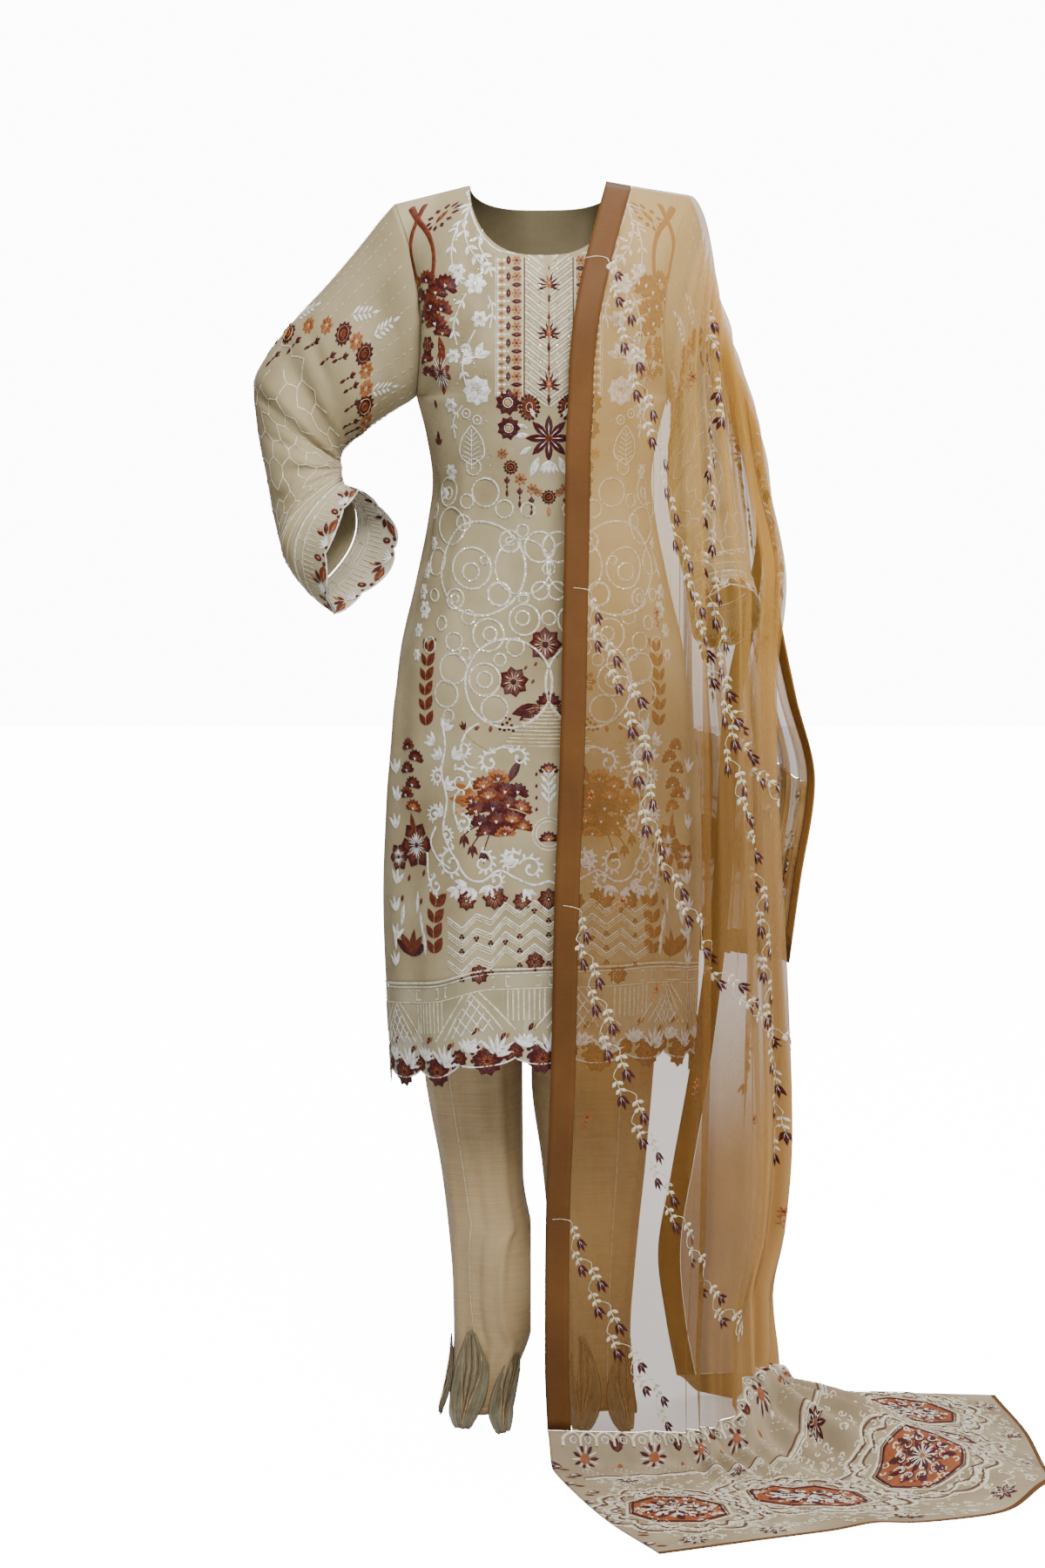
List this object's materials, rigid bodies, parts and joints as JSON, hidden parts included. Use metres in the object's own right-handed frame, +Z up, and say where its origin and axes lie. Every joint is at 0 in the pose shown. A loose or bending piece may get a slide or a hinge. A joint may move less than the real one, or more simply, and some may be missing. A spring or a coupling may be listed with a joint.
{
  "type": "salwar kameez suit",
  "caption": "Worn three-piece suit: knee-length embroidered net kameez with lace hem and bell cuffs, narrow trousers, and a long sheer dupatta over one shoulder trailing on the floor.",
  "frame": {"origin": "between the two shoulder seams of the kameez, where the wearer's shoulders carry the suit, 1.440 m above the floor that the trailing end of the dupatta lies on", "axes": "+Z up, the front of the suit faces -Y, the wearer's left arm is on the +X side"},
  "size_m": [0.8948, 0.6278, 1.4435],
  "materials": {
    "kameez_net": "ecru embroidered net",
    "white_lace": "cream cutwork lace",
    "raw_silk": "beige raw silk",
    "petal_organza": "grey-green pleated organza",
    "gold_net": "sheer golden-brown net",
    "bronze_silk": "bronze silk",
    "pallu_work": "densely embroidered net"
  },
  "bodies": {
    "root": {"kameez_front": "kameez_net", "kameez_back": "kameez_net", "sleeve_left": "kameez_net", "sleeve_right": "kameez_net", "hem_lace_front": "white_lace", "hem_lace_back": "white_lace", "cuff_lace_left": "white_lace", "cuff_lace_right": "white_lace", "trouser_left": "raw_silk", "trouser_right": "raw_silk", "trouser_waistband": "raw_silk", "ankle_petal_1": "petal_organza", "ankle_petal_2": "petal_organza", "ankle_petal_3": "petal_organza", "ankle_petal_4": "petal_organza", "ankle_petal_5": "petal_organza", "ankle_petal_6": "petal_organza", "dupatta_front": "gold_net", "dupatta_back": "gold_net", "front_strip_near": "bronze_silk", "front_strip_far": "bronze_silk", "back_strip_near": "bronze_silk", "back_strip_far": "bronze_silk", "back_end_band": "bronze_silk", "pallu_piping": "bronze_silk", "pallu": "pallu_work", "back_pallu": "pallu_work"}
  },
  "joints": []
}
